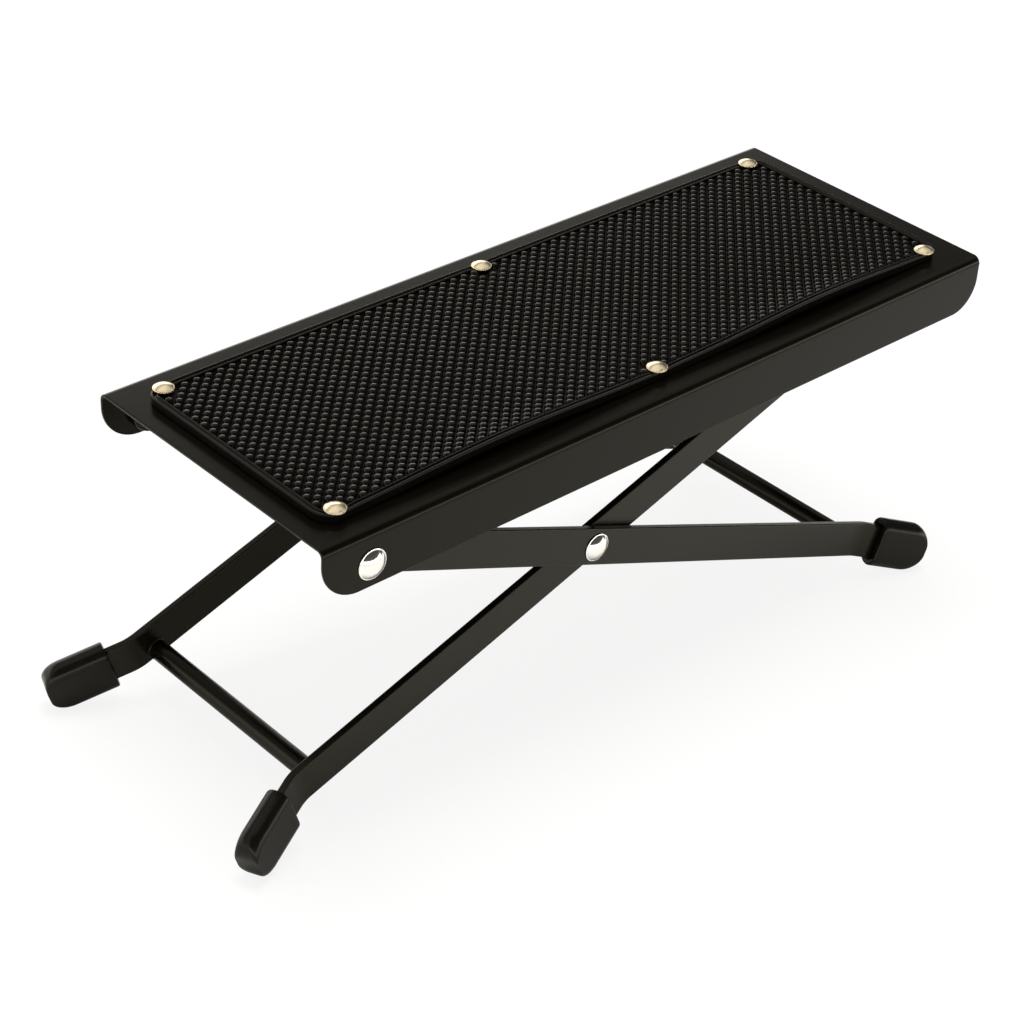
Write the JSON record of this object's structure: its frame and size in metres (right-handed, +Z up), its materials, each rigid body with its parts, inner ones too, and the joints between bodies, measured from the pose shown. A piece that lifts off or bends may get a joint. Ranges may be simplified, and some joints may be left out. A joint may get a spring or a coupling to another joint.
{
  "type": "guitar footrest",
  "caption": "Folding guitar footrest: steel tread with a pimpled rubber mat on crossing flat steel legs with rubber feet; a latch bar in notched racks sets the height.",
  "frame": {"origin": "on the floor, under the middle of the standing footrest", "axes": "+Z up; +X along the tread from its riveted pivot end to its latch end; -Y the near side"},
  "size_m": [0.287, 0.107, 0.1191],
  "materials": {
    "black_powder_coat": "satin powder coat, warm black",
    "black_rubber": "satin moulded rubber",
    "pale_brass": "pale brass plating, polished",
    "bright_plating": "bright nickel plating on steel"
  },
  "bodies": {
    "tread": {"top_plate": "black_powder_coat", "rubber_mat": "black_rubber", "mat_rivet_near_left": "pale_brass", "mat_rivet_near_middle": "pale_brass", "mat_rivet_near_right": "pale_brass", "mat_rivet_far_left": "pale_brass", "mat_rivet_far_middle": "pale_brass", "mat_rivet_far_right": "pale_brass", "height_rack_near": "black_powder_coat", "height_rack_far": "black_powder_coat", "pivot_rivet_near": "bright_plating", "pivot_rivet_far": "bright_plating"},
    "outer_legs": {"outer_leg_near": "black_powder_coat", "outer_leg_far": "black_powder_coat", "outer_cross_rod": "black_powder_coat", "outer_foot_cap_near": "black_rubber", "outer_foot_cap_far": "black_rubber", "cross_rivet_near": "bright_plating", "cross_rivet_far": "bright_plating"},
    "inner_legs": {"inner_leg_near": "black_powder_coat", "inner_leg_far": "black_powder_coat", "inner_cross_rod": "black_powder_coat", "latch_bar": "black_powder_coat", "inner_foot_cap_near": "black_rubber", "inner_foot_cap_far": "black_rubber"}
  },
  "joints": [
    {"name": "flange_hinge", "type": "hinge", "parent": "tread", "child": "outer_legs", "pos_m": [-0.10522, 0, 0.09142], "axis": [0, 1, 0], "range_deg": [-17.6, 24.4]},
    {"name": "cross_hinge", "type": "hinge", "parent": "outer_legs", "child": "inner_legs", "pos_m": [-0.01164, 0, 0.0588], "axis": [0, 1, 0], "range_deg": [-48.82, 35.22]}
  ],
  "couplings": [
    {"joint": "cross_hinge", "follows": "flange_hinge", "ratio": -2}
  ]
}
